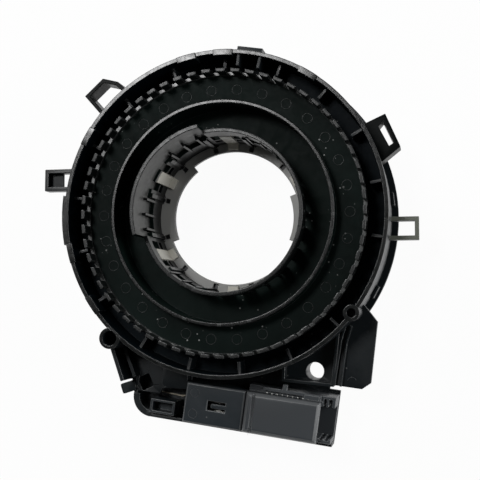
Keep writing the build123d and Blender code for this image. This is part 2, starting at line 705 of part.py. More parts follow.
# ---------------------------------------------------------------- hub, wheel side
socket_drop = front_level
wheel_sockets = ((squib_angles[0], squib_length, squib_width), (squib_angles[1], squib_length, squib_width),
                 (switch_angle, switch_length, switch_width))
with BuildPart() as hub:
    with BuildSketch():
        Circle(nose_r)
        Circle(bore_r, mode=Mode.SUBTRACT)
    extrude(amount=land_level)
    with BuildSketch(Plane.XY.offset(land_level - flange_thick)):
        Circle(barrel_r - barrel_wall / 2)
        Circle(flange_inner_r, mode=Mode.SUBTRACT)
    extrude(amount=flange_thick)
    # Two lands reach further into the bore
    with BuildSketch(Plane.XY.offset(land_level - flange_thick)):
        for land_start, land_end in land_spans:
            add(sector(land_r, bore_r, land_start, land_end))
    extrude(amount=flange_thick)
    with BuildSketch(Plane.XY.offset(front_level)):
        Circle(barrel_r)
        Circle(barrel_r - barrel_wall, mode=Mode.SUBTRACT)
    extrude(amount=disc_level - front_level)
    with BuildSketch(Plane.XY.offset(front_level)):
        Circle(front_r)
        Circle(nose_r - nose_wall / 2, mode=Mode.SUBTRACT)
    extrude(amount=front_thick)
    # Shrouds of the wheel-side sockets
    for angle, length, width in wheel_sockets:
        with BuildSketch():
            with PolarLocations(socket_ring_r, 1, start_angle=angle):
                Rectangle(width, length)
                Rectangle(width - 2 * wheel_socket_wall, length - 2 * wheel_socket_wall, mode=Mode.SUBTRACT)
        extrude(amount=socket_drop)
    # Shallow pockets in the flange, at the foot of each column
    with BuildSketch(Plane.XY.offset(land_level - foot_pocket_depth)):
        for side in (-column_angle, column_angle):
            with PolarLocations(sleeve_r - foot_pocket, group_count, start_angle=group_start + side):
                Rectangle(foot_pocket, foot_pocket)
    extrude(amount=foot_pocket_depth, mode=Mode.SUBTRACT)
    # Holes for the roots of the pins
    with BuildSketch(Plane.XY.offset(front_level)):
        for angle in squib_angles:
            with Locations(Location((0, 0, 0), (0, 0, angle))):
                with Locations((socket_ring_r, -squib_pin_pitch / 2), (socket_ring_r, squib_pin_pitch / 2)):
                    Rectangle(pin_size, pin_size)
        with Locations(Location((0, 0, 0), (0, 0, switch_angle))):
            with Locations((socket_ring_r, 0)):
                with GridLocations(1, switch_pin_pitch, 1, switch_pin_count):
                    Rectangle(pin_size, pin_size)
    extrude(amount=front_thick, mode=Mode.SUBTRACT)
hub.part.label = "hub"
export_step(hub.part, "parts/hub.step")

pin_foot = front_level - wheel_pin_length
with BuildPart() as squib_pins:
    with BuildSketch(Plane.XY.offset(pin_foot)):
        for angle in squib_angles:
            with Locations(Location((0, 0, 0), (0, 0, angle))):
                with Locations((socket_ring_r, -squib_pin_pitch / 2), (socket_ring_r, squib_pin_pitch / 2)):
                    Rectangle(pin_size, pin_size)
    extrude(amount=chamber_level - pin_foot)
squib_pins.part.label = "squib_pins"
export_step(squib_pins.part, "parts/squib_pins.step")

with BuildPart() as switch_pins:
    with BuildSketch(Plane.XY.offset(pin_foot)):
        with Locations(Location((0, 0, 0), (0, 0, switch_angle))):
            with Locations((socket_ring_r, 0)):
                with GridLocations(1, switch_pin_pitch, 1, switch_pin_count):
                    Rectangle(pin_size, pin_size)
    extrude(amount=chamber_level - pin_foot)
switch_pins.part.label = "switch_pins"
export_step(switch_pins.part, "parts/switch_pins.step")

insert_length = squib_length - 2 * wheel_socket_wall - 2 * seat_gap
insert_width = squib_width - 2 * wheel_socket_wall - 2 * seat_gap
for name, angle in zip(("squib_insert_right", "squib_insert_left"), squib_angles):
    with BuildPart() as squib_insert:
        with BuildSketch(Plane.XY.offset(1.0)):
            with PolarLocations(socket_ring_r, 1, start_angle=angle):
                Rectangle(insert_width, insert_length)
                Rectangle(insert_width - 2 * insert_wall, insert_length - 2 * insert_wall, mode=Mode.SUBTRACT)
        extrude(amount=front_level - 1.0)
    squib_insert.part.label = name
    export_step(squib_insert.part, f"parts/{name}.step")

# A spring bar in each airbag socket joins its two pins while the plug is out
bar_thick = 0.4
bar_reach = insert_width / 2 - insert_wall - bar_thick / 2 - 0.1
with BuildPart() as shorting_bars:
    with BuildSketch(Plane.XY.offset(2.0)):
        for angle in squib_angles:
            with PolarLocations(socket_ring_r + bar_reach, 1, start_angle=angle):
                Rectangle(bar_thick, insert_length / 2)
    extrude(amount=front_level - 2.0)
shorting_bars.part.label = "shorting_bars"
export_step(shorting_bars.part, "parts/shorting_bars.step")

with BuildPart() as inner_clip:
    with BuildSketch(Plane.XY.offset(chamber_level)):
        add(sector(barrel_r, barrel_r + 1.0, cable_end_angle - 6, cable_end_angle + 6))
    extrude(amount=chamber_height - 1.0)
inner_clip.part.label = "inner_clip"
export_step(inner_clip.part, "parts/inner_clip.step")

# ---------------------------------------------------------------- slide ring
tongue_inner_r = sleeve_r - 0.2
tongue_outer_r = tongue_inner_r + tongue_thick
with BuildPart() as slide_ring:
    with BuildSketch(Plane.XY.offset(land_level)):
        Circle(ring_outer_r)
        Circle(ring_inner_r, mode=Mode.SUBTRACT)
    extrude(amount=slide_height)
    # Each tongue: its root on the ring, the tall blade, and a foot on the flange
    for near_r, far_r, height in ((tongue_inner_r, ring_inner_r + slide_wall / 2, tongue_root_height),
                                  (tongue_inner_r, tongue_outer_r, tongue_height),
                                  (tongue_inner_r - tongue_foot, tongue_outer_r, tongue_foot_height)):
        with BuildSketch(Plane.XY.offset(land_level)):
            with PolarLocations(0, group_count, start_angle=group_start):
                add(sector(near_r, far_r, -tongue_span / 2, tongue_span / 2))
        extrude(amount=height)
slide_ring.part.label = "slide_ring"
export_step(slide_ring.part, "parts/slide_ring.step")

# ---------------------------------------------------------------- code disc
# One tooth of the code ring: flat outside, bevelled inside
half_tooth = tooth_length / 2
tooth_root_r = tooth_inner_r + tooth_inset
tooth_tip_r = tooth_ring_r - tooth_inset
with BuildSketch() as tooth:
    with BuildLine():
        Polyline((tooth_root_r + tooth_bevel, half_tooth), (tooth_tip_r, half_tooth),
                 (tooth_tip_r, -half_tooth), (tooth_root_r + tooth_bevel, -half_tooth),
                 (tooth_root_r, tooth_bevel - half_tooth), (tooth_root_r, half_tooth - tooth_bevel), close=True)
    make_face()

reach = tongue_span / 2 + 0.4
group_step = 360 / group_count
between_start = group_start + group_step / 2
with BuildPart() as code_disc:
    with BuildSketch(Plane.XZ):
        with BuildLine():
            Polyline((sleeve_r, land_level), (sleeve_outer_r, land_level), (sleeve_outer_r, disc_level),
                     (rib_ring_r, disc_level), (rib_ring_r, code_plate_top - plate_thick),
                     (tooth_inner_r, code_plate_top - plate_thick), (tooth_inner_r, code_plate_top - tooth_skirt),
                     (tooth_ring_r, code_plate_top - tooth_skirt), (tooth_ring_r, tooth_floor),
                     (tooth_inner_r, tooth_floor), (tooth_inner_r, code_plate_top),
                     (rib_ring_r, code_plate_top), (rib_ring_r, rib_ring_top - edge_bevel),
                     (rib_ring_r - edge_bevel, rib_ring_top), (rib_ring_r - rib_ring_wall, rib_ring_top),
                     (rib_ring_r - rib_ring_wall, disc_level + plate_thick),
                     (sleeve_outer_r, disc_level + plate_thick), (sleeve_outer_r, sleeve_top - edge_bevel),
                     (sleeve_outer_r - edge_bevel, sleeve_top), (sleeve_r, sleeve_top), close=True)
        make_face()
    revolve(axis=Axis.Z)
    # The code teeth
    with BuildSketch(Plane.XY.offset(tooth_floor)):
        with PolarLocations(0, tooth_count):
            add(tooth.sketch)
    extrude(amount=tooth_top - tooth_floor)
    # The rim of the sleeve is lower over one part
    with BuildSketch(Plane.XY.offset(sleeve_low_top)):
        add(sector(sleeve_r - 1, sleeve_outer_r + 1, collar_end, sleeve_low_end))
    extrude(amount=sleeve_top, mode=Mode.SUBTRACT)
    # Tall half collar
    with BuildSketch(Plane.XY.offset(window_top)):
        add(sector(sleeve_r - 1, collar_inner_r, collar_start, collar_end))
    extrude(amount=sleeve_top, mode=Mode.SUBTRACT)
    with BuildSketch(Plane.XY.offset(disc_level)):
        add(sector(collar_inner_r, collar_r, collar_start, collar_end))
    extrude(amount=collar_top - disc_level)
    # A window each side of every tongue, below the plate and above it
    for level, top in ((window_bottom, disc_level), (disc_level + plate_thick, window_top)):
        with BuildSketch(Plane.XY.offset(level)):
            with PolarLocations(0, group_count, start_angle=group_start):
                add(sector(sleeve_r - 1, sleeve_outer_r + 0.1, -reach - window_span, -reach))
                add(sector(sleeve_r - 1, sleeve_outer_r + 0.1, reach, reach + window_span))
        extrude(amount=top - level, mode=Mode.SUBTRACT)
    # A long slot between the groups, above the plate only
    with BuildSketch(Plane.XY.offset(disc_level + plate_thick)):
        with PolarLocations(0, group_count, start_angle=between_start):
            add(sector(sleeve_r - 1, sleeve_outer_r + 0.1, -slot_span / 2, slot_span / 2))
    extrude(amount=window_top - disc_level - plate_thick, mode=Mode.SUBTRACT)
    # The opening that each tongue stands in
    for outer_r, height in ((sleeve_outer_r + 1, disc_level - land_level), (tongue_outer_r + 0.2, tongue_height + 0.2)):
        with BuildSketch(Plane.XY.offset(land_level)):
            with PolarLocations(0, group_count, start_angle=group_start):
                add(sector(sleeve_r - 1, outer_r, -reach, reach))
        extrude(amount=height, mode=Mode.SUBTRACT)
    # Columns stand inside the sleeve, either side of each group
    with BuildSketch(Plane.XY.offset(land_level)):
        for side in (-column_angle, column_angle):
            with PolarLocations(sleeve_r - column_depth / 2 + 0.3, group_count, start_angle=group_start + side):
                Rectangle(column_depth + 0.6, column_width)
    extrude(amount=window_top - land_level)
    # Fins cross each slot between the groups
    with BuildSketch(Plane.XY.offset(fin_bottom)):
        for side in fin_offsets:
            with PolarLocations(sleeve_r + fin_depth / 4, group_count, start_angle=between_start + side):
                Rectangle(fin_depth, fin_thick)
    extrude(amount=sleeve_low_top - fin_bottom)
code_disc.part.label = "code_disc"
export_step(code_disc.part, "parts/code_disc.step")
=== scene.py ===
"""Looks of a steering clock spring: mouldings, code disc, connector bay and studio.

The column side, with the toothed code disc, faces up. The connector bay is towards -Y.
Sizes are metres, in the frame of the solids, and angles go round +Z from +X.
"""

import logging
from dataclasses import dataclass
from enum import Enum
from math import atan2, cos, degrees, pi, radians, sin

import bmesh
import bpy
from mathutils import Matrix, Vector

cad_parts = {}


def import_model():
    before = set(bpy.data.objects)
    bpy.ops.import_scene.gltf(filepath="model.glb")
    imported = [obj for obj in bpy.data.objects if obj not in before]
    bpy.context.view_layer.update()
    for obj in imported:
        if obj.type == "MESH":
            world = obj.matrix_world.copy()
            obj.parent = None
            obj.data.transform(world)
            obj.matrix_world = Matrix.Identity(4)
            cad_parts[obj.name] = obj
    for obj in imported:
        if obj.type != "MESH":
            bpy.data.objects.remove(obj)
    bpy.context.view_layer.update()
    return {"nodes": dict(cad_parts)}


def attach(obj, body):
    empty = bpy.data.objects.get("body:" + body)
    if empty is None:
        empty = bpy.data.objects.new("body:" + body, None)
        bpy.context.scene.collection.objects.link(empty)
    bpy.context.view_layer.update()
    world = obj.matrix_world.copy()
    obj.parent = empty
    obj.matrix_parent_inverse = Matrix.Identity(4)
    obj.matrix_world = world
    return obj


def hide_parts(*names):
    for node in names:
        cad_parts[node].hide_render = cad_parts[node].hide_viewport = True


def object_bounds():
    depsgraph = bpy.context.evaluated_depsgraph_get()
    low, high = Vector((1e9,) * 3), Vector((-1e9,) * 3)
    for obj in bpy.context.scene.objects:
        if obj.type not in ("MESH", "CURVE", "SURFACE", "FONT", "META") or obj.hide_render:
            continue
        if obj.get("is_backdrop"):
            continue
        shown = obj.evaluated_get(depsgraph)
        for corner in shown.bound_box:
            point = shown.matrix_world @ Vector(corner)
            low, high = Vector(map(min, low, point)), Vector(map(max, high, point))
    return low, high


LOG = logging.getLogger("clock_spring")
MM = 0.001
WHITE = (1.0, 1.0, 1.0, 1.0)
Colour = tuple[float, float, float]
Point = tuple[float, float]
Place = tuple[float, float, float]
Band = tuple[float, float]

# Edges of a carried-over solid: points nearer than this are one, and sharper turns than this are rounded
MERGE_DISTANCE = 0.002 * MM
ROUNDED_FROM = radians(50)
# Sharper turns than these stay sharp in the shading of a moulding and of a small raised feature
MOULDED_SHARP_FROM = radians(20)
RAISED_SHARP_FROM = radians(40)
# Which way a face looks: how much of its unit normal points up, and how much points away from the axis
UP_LEAN = 0.35
EDGE_LEAN: Band = (0.2, 0.95)
SIDE_LEAN = 0.5
ACROSS_LEAN = 0.5
# How far a raised feature is sunk into what carries it
SUNK = 0.05 * MM
# The connector bay's own frame is turned about the axis, and its origin is this far out
BAY_TURN = radians(-8.0)
BAY_REACH = 62.0 * MM


def band(low: float, high: float) -> Band:
    """A band of sizes, given in millimetres, in metres."""
    return low * MM, high * MM


class Rides(Enum):
    """The moving body that a piece belongs to."""

    STATOR = "stator"
    ROTOR = "rotor"


# ------------------------------------------------------------------ node wiring
class Wiring:
    """Adds and joins the nodes of one tree."""

    def __init__(self, tree: bpy.types.NodeTree) -> None:
        """Keeps the tree and empties it.

        Args:
            tree: the tree of a material, a world or a node group.
        """
        self.tree = tree
        tree.nodes.clear()

    def node(self, kind: str, props: dict | None = None, **sockets: object) -> bpy.types.Node:
        """Adds a node.

        Args:
            kind: the node's type name.
            props: properties to set on the node.
            sockets: values or output sockets, by input name with _ for a space, or by i and its number.

        Returns:
            The new node.
        """
        made = self.tree.nodes.new(kind)
        for key, value in (props or {}).items():
            setattr(made, key, value)
        for key, value in sockets.items():
            target = made.inputs[int(key[1:]) if key[1:].isdigit() else key.replace("_", " ")]
            if isinstance(value, bpy.types.NodeSocket):
                self.tree.links.new(value, target)
            else:
                target.default_value = value
        return made

    def maths(self, operation: str, first: object, second: object) -> bpy.types.NodeSocket:
        """A Math node of two inputs; returns its output."""
        return self.node("ShaderNodeMath", {"operation": operation}, i0=first, i1=second).outputs[0]

    def spread(self, value: object, span: Band, onto: Band) -> bpy.types.NodeSocket:
        """A clamped Map Range from one band to another; returns its output."""
        return self.node("ShaderNodeMapRange", Value=value, From_Min=span[0], From_Max=span[1],
                         To_Min=onto[0], To_Max=onto[1]).outputs[0]

    def noise(self, place: object, scale: float, detail: float, **more: float) -> bpy.types.NodeSocket:
        """A Noise Texture at the place; returns its value."""
        return self.node("ShaderNodeTexNoise", Vector=place, Scale=scale, Detail=detail, **more).outputs[0]

    def blend(self, share: object, first: object, second: object) -> bpy.types.NodeSocket:
        """Mixes two colours.

        Args:
            share: how much of the second there is.
            first: a colour, or the socket of one.
            second: the other.

        Returns:
            The mixed colour's socket.
        """
        made = self.node("ShaderNodeMix", {"data_type": "RGBA"}, i0=share)
        for index, value in ((6, first), (7, second)):
            if isinstance(value, bpy.types.NodeSocket):
                self.tree.links.new(value, made.inputs[index])
            else:
                made.inputs[index].default_value = (*value, 1.0)
        return made.outputs[2]


def scaled(tone: Colour, factor: float) -> Colour:
    """The colour made lighter or darker."""
    return tuple(value * factor for value in tone)


# ------------------------------------------------------------------ finishes
@dataclass(frozen=True)
class Finish:
    """A finish that is built once and shared by the pieces that have it."""

    name: str

    def material(self) -> bpy.types.Material:
        """Builds the material, or returns the one already built.

        Returns:
            The node material.
        """
        if self.name in bpy.data.materials:
            return bpy.data.materials[self.name]
        made = bpy.data.materials.new(self.name)
        made.use_nodes = True
        net = Wiring(made.node_tree)
        place = net.node("ShaderNodeTexCoord").outputs["Object"]
        net.node("ShaderNodeOutputMaterial", Surface=self.shader(net, place).outputs[0])
        return made

    def shader(self, net: Wiring, place: bpy.types.NodeSocket) -> bpy.types.Node:
        """Wires the nodes of this kind of finish, and returns its shader."""
        raise NotImplementedError


@dataclass(frozen=True)
class Moulding(Finish):
    """Injection-moulded plastic: fine grain, flow mottling, a painted highlight along the edges, a little
    dust, and painted shade below a set level where a finish has one.
    """

    tone: Colour
    roughness: float = 0.38
    gloss: float = 0.5
    cast: Colour = (0.010, 0.016, 0.015)
    mottle: float = 0.35
    cloud_scale: float = 46.0
    cloud_span: Band = (0.38, 0.68)
    grain: float = 0.22
    grain_size: float = 0.22 * MM
    grain_depth: float = 0.04 * MM
    streak_scale: float = 310.0
    streak_span: Band = (0.3, 0.75)
    streak_roughness: Band = (-0.05, 0.07)
    # Edges: the radius and samples round the shading normal, and the strength, turn and colour paint a pale
    # highlight along the edges.
    edge: float = 0.10
    edge_radius: float = 0.28 * MM
    edge_samples: int = 6
    edge_highlight_turn: Band = (0.995, 0.80)
    edge_highlight_tone: Colour = (0.55, 0.57, 0.58)
    dust: float = 0.0
    dust_scale: float = 420.0
    dust_reach: Band = (0.15, 0.10)
    dust_tone: Colour = (0.42, 0.43, 0.42)
    drift_scale: float = 90.0
    drift_span: Band = (0.58, 0.62)
    # Painted shade: below this level the colour fades to a near-black tone; zero leaves it out.
    shade_level: float = 0.0
    shade_fade: float = 0.4 * MM
    shade_tone: Colour = (0.0025, 0.0032, 0.0034)

    def shader(self, net: Wiring, place: bpy.types.NodeSocket) -> bpy.types.Node:
        """Wires the plastic.

        Args:
            net: the material's wiring.
            place: the point on the piece.

        Returns:
            The plastic's shader.
        """
        bevel = net.node("ShaderNodeBevel", {"samples": self.edge_samples}, Radius=self.edge_radius)
        rounded = bevel.outputs[0]
        grain = net.noise(place, 1.0 / self.grain_size, detail=2.0)
        bump = net.node("ShaderNodeBump", Strength=self.grain, Distance=self.grain_depth, Height=grain,
                        Normal=rounded)
        streaks = net.noise(place, self.streak_scale, detail=5.0, Distortion=1.4)
        rough = net.maths("ADD", net.spread(streaks, self.streak_span, self.streak_roughness), self.roughness)
        colour = self.highlight_edges(net, rounded, self.dust_and_shade(net, place))
        return net.node("ShaderNodeBsdfPrincipled", Base_Color=colour, Roughness=rough,
                        Specular_IOR_Level=self.gloss, Normal=bump.outputs[0])

    def dust_and_shade(self, net: Wiring, place: bpy.types.NodeSocket) -> bpy.types.NodeSocket:
        """Wires the mottled colour with its dust, and with painted shade below a set level where the finish
        has one.

        Args:
            net: the material's wiring.
            place: the point on the piece.

        Returns:
            The colour's socket.
        """
        clouds = net.noise(place, self.cloud_scale, detail=3.0, Roughness=0.6)
        cloudy = net.blend(net.spread(clouds, self.cloud_span, (0.0, self.mottle)), self.tone, self.cast)
        specks = net.node("ShaderNodeTexVoronoi", Vector=place, Scale=self.dust_scale).outputs["Distance"]
        drifts = net.noise(place, self.drift_scale, detail=1.0)
        fallen = net.maths("MULTIPLY", net.spread(specks, self.dust_reach, (0.0, self.dust)),
                           net.spread(drifts, self.drift_span, (0.0, 1.0)))
        dusty = net.blend(fallen, cloudy, self.dust_tone)
        if not self.shade_level:
            return dusty
        height = net.node("ShaderNodeSeparateXYZ", Vector=place).outputs[2]
        unshaded = net.spread(height, (self.shade_level - self.shade_fade, self.shade_level), (0.0, 1.0))
        return net.blend(unshaded, self.shade_tone, dusty)

    def highlight_edges(self, net: Wiring, rounded: bpy.types.NodeSocket,
               colour: bpy.types.NodeSocket) -> bpy.types.NodeSocket:
        """Wires the painted highlight along the edges.

        Args:
            net: the material's wiring.
            rounded: the surface's direction as it would be with round edges.
            colour: the colour away from the edges.

        Returns:
            The colour's socket.
        """
        facing = net.node("ShaderNodeNewGeometry").outputs["Normal"]
        turn = net.node("ShaderNodeVectorMath", {"operation": "DOT_PRODUCT"}, i0=rounded, i1=facing)
        highlit = net.spread(turn.outputs["Value"], self.edge_highlight_turn, (0.0, 1.0))
        return net.blend(net.maths("MULTIPLY", highlit, self.edge), colour, self.edge_highlight_tone)


@dataclass(frozen=True)
class Plating(Finish):
    """Tinned contact metal, faintly scratched along its length."""

    tone: Colour = (0.62, 0.60, 0.55)
    roughness: float = 0.28
    rougher: float = 0.2
    scratch_scale: Place = (300.0, 4000.0, 4000.0)
    scratch_span: Band = (0.35, 0.7)
    scratch_share: float = 0.6
    scratch_darkness: float = 0.6
    dull_span: Band = (0.3, 0.7)

    def shader(self, net: Wiring, place: bpy.types.NodeSocket) -> bpy.types.Node:
        """Wires the metal.

        Args:
            net: the material's wiring.
            place: the point on the piece.

        Returns:
            The metal's shader.
        """
        stretched = net.node("ShaderNodeMapping", Vector=place, Scale=self.scratch_scale).outputs[0]
        lines = net.noise(stretched, 1.0, detail=3.0)
        dull = net.blend(net.spread(lines, self.scratch_span, (0.0, self.scratch_share)), self.tone,
                         scaled(self.tone, self.scratch_darkness))
        rough = net.spread(lines, self.dull_span, (self.roughness, self.roughness + self.rougher))
        return net.node("ShaderNodeBsdfPrincipled", Base_Color=dull, Metallic=1.0, Roughness=rough)


@dataclass(frozen=True)
class Felt(Finish):
    """Thin pressed felt with loose fibres."""

    tone: Colour = (0.05, 0.05, 0.055)
    roughness: float = 0.95
    sheen: float = 0.3
    fibre_scale: float = 2600.0
    fibre_span: Band = (0.35, 0.7)
    fibre_height: float = 0.8
    fibre_depth: float = 0.1 * MM
    fibre_paleness: float = 2.2

    def shader(self, net: Wiring, place: bpy.types.NodeSocket) -> bpy.types.Node:
        """Wires the felt.

        Args:
            net: the material's wiring.
            place: the point on the piece.

        Returns:
            The felt's shader.
        """
        fibres = net.noise(place, self.fibre_scale, detail=4.0, Distortion=2.5)
        fluff = net.blend(net.spread(fibres, self.fibre_span, (0.0, 1.0)), self.tone,
                          scaled(self.tone, self.fibre_paleness))
        bump = net.node("ShaderNodeBump", Strength=self.fibre_height, Distance=self.fibre_depth,
                        Height=fibres)
        return net.node("ShaderNodeBsdfPrincipled", Base_Color=fluff, Roughness=self.roughness,
                        Sheen_Weight=self.sheen, Normal=bump.outputs[0])


HOUSING = Moulding("housing_black", (0.0072, 0.0108, 0.0130), 0.40, 0.3, (0.005, 0.007, 0.009), dust=0.25)
# Painted shade: a darker, duller copy of the housing plastic for the well's inner wall and floor.
HOUSING_WELL_SHADE = Moulding("housing_well_shade", (0.0022, 0.0056, 0.0080), 0.48, 0.06, (0.0040, 0.0056, 0.0080),
                        dust=0.3)
# Painted light: a lighter copy of the housing plastic for the step tops and the left loop's top.
HOUSING_STEP_LIT = Moulding("housing_step_lit", (0.022, 0.024, 0.025), 0.36, 0.6, (0.012, 0.013, 0.014))
# Painted shade: a darker copy of the housing plastic for the rim tops.
HOUSING_RIM_SHADE = Moulding("housing_rim_shade", (0.003, 0.004, 0.004), 0.22, 0.55, (0.003, 0.004, 0.004), edge=0.15,
                       dust=0.3)
# Painted highlight: a lighter copy of the housing plastic for the leaning edge facets.
HOUSING_EDGE_HIGHLIGHT = Moulding("housing_edge_highlight", (0.042, 0.047, 0.050), 0.36, 1.0, (0.022, 0.026, 0.028), edge=0.2)
# Painted light: a pale copy of the housing plastic for the right loop's top.
HOUSING_PALE_LIT = Moulding("housing_pale_lit", (0.17, 0.18, 0.15), 0.40, 0.5, (0.10, 0.11, 0.09))
# Painted shade: a darker, duller copy of the housing plastic for the upper loops.
HOUSING_LOOP_SHADE = Moulding("housing_loop_shade", (0.003, 0.004, 0.004), 0.36, 0.08, (0.004, 0.005, 0.005), edge=0.03)
DISC = Moulding("disc_black", (0.0032, 0.0078, 0.0066), 0.50, 0.07, (0.0062, 0.0124, 0.0110), mottle=0.7,
                dust=0.8)
# Painted light: a lighter copy of the disc plastic for the floors between the teeth.
DISC_FLOOR_LIT = Moulding("disc_floor_lit", (0.05, 0.053, 0.052), 0.30, 0.6, (0.04, 0.043, 0.042))
# Painted shade: a darker copy of the disc plastic for the rib ring's top.
DISC_RIB_SHADE = Moulding("disc_rib_shade", (0.0022, 0.0030, 0.0030), 0.25, 0.45, (0.003, 0.004, 0.004), edge=0.06)
# Painted shade and highlight: a darker copy of the disc plastic for the teeth, with a stronger pale edge.
DISC_TOOTH_SHADE = Moulding("disc_tooth_shade", (0.004, 0.005, 0.005), 0.38, 0.45, (0.003, 0.004, 0.004), edge=0.2)
# Painted shade: a darker copy of the disc plastic for the sleeve and collar tops and the sleeve's outer wall.
DISC_SLEEVE_SHADE = Moulding("disc_sleeve_shade", (0.005, 0.006, 0.006), 0.28, 0.35, (0.006, 0.007, 0.007), edge=0.1)
# Painted shade: a near-black, dull copy of the disc plastic for the recesses behind the sleeve.
DISC_RECESS_SHADE = Moulding("disc_recess_shade", (0.0020, 0.0028, 0.0032), 0.60, 0.05, (0.003, 0.004, 0.005))
# Painted light: a much lighter copy of the disc plastic for the bore's inner walls, with painted shade low
# down.
DISC_BORE_LIT = Moulding("disc_bore_lit", (0.095, 0.097, 0.094), 0.40, 0.25, (0.066, 0.068, 0.066), edge=0.12,
                     shade_level=31.2 * MM)
# Painted highlight: a lighter copy of the disc plastic for the leaning edge facets of the tooth tips.
DISC_EDGE_HIGHLIGHT = Moulding("disc_edge_highlight", (0.012, 0.014, 0.014), 0.28, 0.8, (0.008, 0.010, 0.010), edge=0.2)
# Painted highlight: a lighter copy of the disc plastic for the ejector marks and gate pads.
DISC_MARK_HIGHLIGHT = Moulding("disc_mark_highlight", (0.030, 0.034, 0.033), 0.35, 0.4, (0.003, 0.005, 0.005), mottle=1.0)
HUB = Moulding("hub_black", (0.07, 0.07, 0.072), 0.42)
# Painted highlight: a much lighter copy of the hub plastic for the hub's lands.
HUB_LAND_LIT = Moulding("hub_land_lit", (0.46, 0.46, 0.445), 0.40, 0.5, (0.36, 0.36, 0.35))
LID = Moulding("lid_grey", (0.019, 0.026, 0.032), 0.40, 0.35, (0.026, 0.034, 0.040), edge=0.5, dust=0.3)
# Painted highlight: a lighter copy of the lid plastic for the leaning edge facets of the lid and clamp.
LID_EDGE_HIGHLIGHT = Moulding("lid_edge_highlight", (0.100, 0.108, 0.114), 0.38, 1.0, (0.070, 0.076, 0.080), edge=0.3)
# Painted highlight: a lighter copy of the lid plastic for the lid's round marks and the flag's crescent.
LID_MARK_HIGHLIGHT = Moulding("lid_mark_highlight", (0.060, 0.065, 0.070), 0.35, 0.5, (0.02, 0.023, 0.026))
SOCKET = Moulding("socket_grey", (0.049, 0.056, 0.063), 0.44, 0.45, (0.064, 0.071, 0.078), edge=0.6)
# Painted highlight: a lighter copy of the socket plastic for its leaning edge facets.
SOCKET_EDGE_HIGHLIGHT = Moulding("socket_edge_highlight", (0.150, 0.158, 0.165), 0.38, 1.0, (0.11, 0.116, 0.122), edge=0.3)
SLIDE = Moulding("slide_white", (0.80, 0.78, 0.70), 0.45, cast=(0.52, 0.49, 0.42), edge=0.3)
RIBBON = Moulding("ribbon_film", (0.42, 0.36, 0.20), 0.25, cast=(0.36, 0.28, 0.14))
GLIDE = Moulding("glide_film", (0.60, 0.60, 0.57), 0.35, cast=(0.5, 0.5, 0.46))
RETAINER = Moulding("retainer_yellow", (0.55, 0.36, 0.03), 0.4, cast=(0.45, 0.28, 0.02))
TIN = Plating("tin_plate")
TIP = Plating("tip_plate", (0.75, 0.75, 0.72), 0.35)
STRIP = Plating("strip_plate", (0.30, 0.27, 0.22), 0.38)
FELT = Felt("felt_grey")

NODE_FINISH = {
    "housing": HOUSING, "front_cover": HOUSING, "connector_lid": LID, "connector_socket": SOCKET,
    "connector_pins": TIN, "terminal_block": HUB, "cable_clamp": LID, "flat_cable": RIBBON,
    "front_film": GLIDE, "rear_film": GLIDE, "felt_ring": FELT, "code_disc": DISC, "hub": HUB,
    "slide_ring": SLIDE, "squib_insert_right": RETAINER, "squib_insert_left": RETAINER,
    "squib_pins": TIN, "switch_pins": TIN, "inner_clip": LID, "cable_anchor": LID,
    "contact_strips": STRIP, "shorting_bars": TIN,
}


def dress_nodes(nodes: dict[str, bpy.types.Object]) -> None:
    """Gives every carried-over solid its finish.

    Args:
        nodes: the solids' objects by name.
    """
    for name, solid in nodes.items():
        finish = NODE_FINISH[name].material()
        if not solid.material_slots:
            solid.data.materials.append(finish)
        for holder in solid.material_slots:
            holder.material = finish
        LOG.info("dressed %s with %s", name, finish.name)


# ------------------------------------------------------------------ ways of making a piece
def stand(name: str, data: bpy.types.ID) -> bpy.types.Object:
    """Makes a new object of the scene, at the origin.

    Args:
        name: the object's name.
        data: its mesh, lamp or camera.

    Returns:
        The object.
    """
    made = bpy.data.objects.new(name, data)
    bpy.context.scene.collection.objects.link(made)
    return made


def baked(carrier: bpy.types.Object) -> bpy.types.Mesh:
    """Applies an object's modifiers, and removes the object.

    Args:
        carrier: the object that has the modifiers.

    Returns:
        The plain mesh that they give.
    """
    solid = bpy.data.meshes.new_from_object(carrier.evaluated_get(bpy.context.evaluated_depsgraph_get()))
    bpy.data.objects.remove(carrier)
    return solid


def settle(piece: bpy.types.Object, rides: Rides) -> None:
    """Puts a finished piece on its body.

    Args:
        piece: the finished mesh object.
        rides: the body that it moves with.
    """
    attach(piece, rides.value)
    LOG.info("made %s, %d faces, on the %s", piece.name, len(piece.data.polygons), rides.value)


